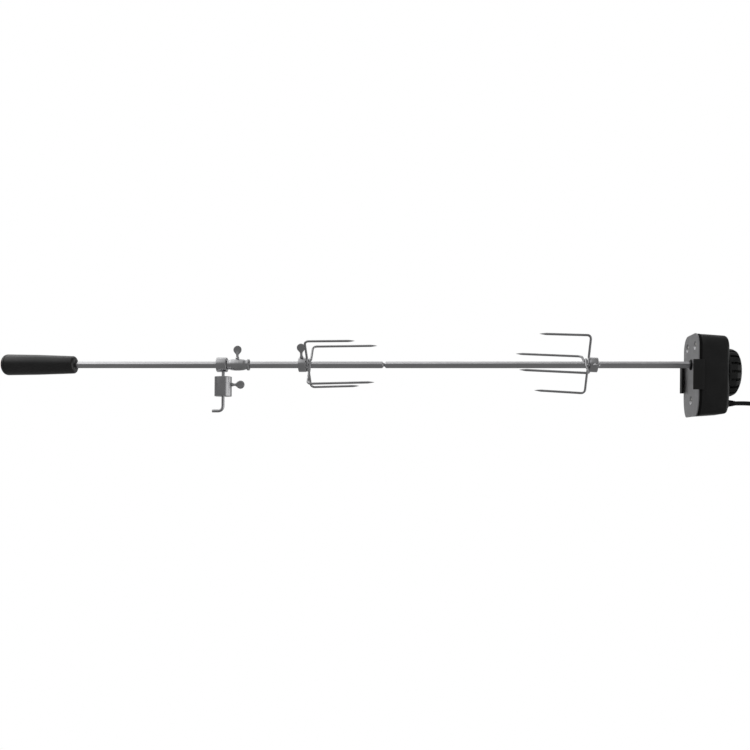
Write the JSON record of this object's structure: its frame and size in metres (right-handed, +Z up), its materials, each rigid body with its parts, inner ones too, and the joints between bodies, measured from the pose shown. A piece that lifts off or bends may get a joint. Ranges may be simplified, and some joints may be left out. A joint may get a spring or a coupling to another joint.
{
  "type": "grill rotisserie kit",
  "caption": "Barbecue rotisserie kit: square two-part spit with handle, two four-tine forks, bushing, counterweight and a geared mains motor with its cord.",
  "frame": {"origin": "on the surface that the motor stands on, under the middle of the kit's length, measured without the cord", "axes": "+X along the spit from its handle to the motor, +Z up"},
  "size_m": [1.363, 0.1198, 0.1275],
  "materials": {
    "galvanised": "zinc-plated sheet steel, faint spangle, satin",
    "housing_black": "fine-textured black moulded plastic",
    "grip_black": "semi-gloss black phenolic, polished",
    "chrome_bar": "nickel-chrome plated drawn square bar, satin",
    "chrome": "nickel-chrome plated turned or cast steel",
    "wire_chrome": "nickel-chrome plated steel wire",
    "zinc_screw": "bright zinc plated screw",
    "machined_steel": "turned steel, oiled",
    "black_oxide": "blackened turned steel, oiled",
    "gasket": "matt black rubber",
    "bronze": "sintered bronze",
    "nylon": "natural nylon, greased",
    "brass": "turned brass",
    "copper": "enamelled copper wire",
    "ferrite": "sintered ferrite on a steel shaft",
    "cord_pvc": "black flexible cord jacket",
    "pin_brass": "bright brass plug pins"
  },
  "bodies": {
    "motor": {"mounting_plate": "galvanised", "gearbox_plate": "galvanised", "case_gasket": "gasket", "housing_shell": "housing_black", "vent_cap": "housing_black", "guide_rail": "housing_black", "hook_rail": "housing_black", "plate_screw_1": "zinc_screw", "plate_screw_2": "zinc_screw", "plate_screw_3": "zinc_screw", "gearbox_screw_1": "zinc_screw", "gearbox_screw_2": "zinc_screw", "gearbox_screw_3": "zinc_screw", "gearbox_pillar_1": "machined_steel", "gearbox_pillar_2": "machined_steel", "gearbox_pillar_3": "machined_steel", "idler_arbor": "machined_steel", "motor_can": "machined_steel", "output_bush": "black_oxide", "rotor_bush": "bronze", "field_coil": "copper", "lead_live": "copper", "lead_neutral": "copper", "strain_relief": "cord_pvc", "cord_lead": "cord_pvc", "cord_coil": "cord_pvc", "cord_tail": "cord_pvc", "cord_tie": "housing_black", "plug_body": "cord_pvc", "plug_blade_live": "pin_brass", "plug_blade_neutral": "pin_brass", "plug_pin_earth": "pin_brass"},
    "drive": {"drive_socket": "black_oxide", "output_gear": "nylon"},
    "idler": {"idler_gear": "nylon"},
    "rotor": {"rotor": "ferrite", "rotor_pinion": "brass"},
    "spit_drive": {"spit_drive_half": "chrome_bar"},
    "spit_handle": {"spit_handle_half": "chrome_bar"},
    "handle": {"handle_grip": "grip_black", "handle_end_cap": "grip_black", "handle_insert": "black_oxide"},
    "fork_1": {"fork_1_hub": "chrome", "fork_1_short_wire": "wire_chrome", "fork_1_long_wire": "wire_chrome"},
    "fork_1_screw": {"fork_1_thumbscrew": "chrome"},
    "fork_2": {"fork_2_hub": "chrome", "fork_2_short_wire": "wire_chrome", "fork_2_long_wire": "wire_chrome"},
    "fork_2_screw": {"fork_2_thumbscrew": "chrome"},
    "bushing": {"bushing": "chrome"},
    "bushing_screw": {"bushing_thumbscrew": "chrome"},
    "counterweight_clamp": {"clamp_collar": "chrome"},
    "counterweight_arm": {"counterweight_rod": "chrome"},
    "weight": {"counterweight": "chrome"},
    "weight_screw": {"counterweight_thumbscrew": "chrome"}
  },
  "joints": [
    {"name": "output_spin", "type": "hinge", "parent": "motor", "child": "drive", "pos_m": [0.5145, 0, 0.08], "axis": [1, 0, 0], "continuous": true},
    {"name": "idler_spin", "type": "hinge", "parent": "motor", "child": "idler", "pos_m": [0.5225, -0.01674, 0.06635], "axis": [1, 0, 0], "continuous": true},
    {"name": "rotor_spin", "type": "hinge", "parent": "motor", "child": "rotor", "pos_m": [0.5445, 0, 0.0678], "axis": [1, 0, 0], "continuous": true},
    {"name": "spit_pull", "type": "slide", "parent": "drive", "child": "spit_drive", "axis": [-1, 0, 0], "range_m": [0, 0.03]},
    {"name": "spit_unscrew", "type": "hinge", "parent": "spit_drive", "child": "spit_handle", "pos_m": [0.0417, 0, 0.08], "axis": [1, 0, 0], "range_deg": [0, 540]},
    {"name": "handle_unscrew", "type": "hinge", "parent": "spit_handle", "child": "handle", "pos_m": [-0.4855, 0, 0.08], "axis": [-1, 0, 0], "range_deg": [0, 540]},
    {"name": "fork_1_slide", "type": "slide", "parent": "spit_handle", "child": "fork_1", "axis": [1, 0, 0], "range_m": [-0.07, 0.1]},
    {"name": "fork_2_slide", "type": "slide", "parent": "spit_drive", "child": "fork_2", "axis": [1, 0, 0], "range_m": [-0.1, 0.1]},
    {"name": "bushing_slide", "type": "slide", "parent": "spit_handle", "child": "bushing", "axis": [1, 0, 0], "range_m": [0, 0.06]},
    {"name": "counterweight_swing", "type": "hinge", "parent": "spit_handle", "child": "counterweight_clamp", "pos_m": [-0.2194, 0, 0.08], "axis": [1, 0, 0], "range_deg": [-140, 140]},
    {"name": "counterweight_arm_turn", "type": "hinge", "parent": "counterweight_clamp", "child": "counterweight_arm", "pos_m": [-0.2173, 0, 0.04], "axis": [0, 0, 1], "range_deg": [-180, 180]},
    {"name": "weight_slide", "type": "slide", "parent": "counterweight_arm", "child": "weight", "axis": [0, 0, 1], "range_m": [-0.014, 0.006]},
    {"name": "weight_screw_turn", "type": "hinge", "parent": "weight", "child": "weight_screw", "pos_m": [-0.1955, 0, 0.0483], "axis": [1, 0, 0], "range_deg": [0, 270]},
    {"name": "bushing_screw_turn", "type": "hinge", "parent": "bushing", "child": "bushing_screw", "pos_m": [-0.1945, 0, 0.095], "axis": [0, 0, 1], "range_deg": [0, 270]},
    {"name": "fork_1_screw_turn", "type": "hinge", "parent": "fork_1", "child": "fork_1_screw", "pos_m": [-0.0899, 0, 0.07998], "axis": [-0.0164, -0.342, 0.9395], "range_deg": [0, 270]},
    {"name": "fork_2_screw_turn", "type": "hinge", "parent": "fork_2", "child": "fork_2_screw", "pos_m": [0.3677, 0, 0.07995], "axis": [-0.0055, -0.9925, -0.1217], "range_deg": [0, 270]}
  ],
  "couplings": [
    {"joint": "idler_spin", "follows": "output_spin", "ratio": -3},
    {"joint": "rotor_spin", "follows": "output_spin", "ratio": 11}
  ]
}
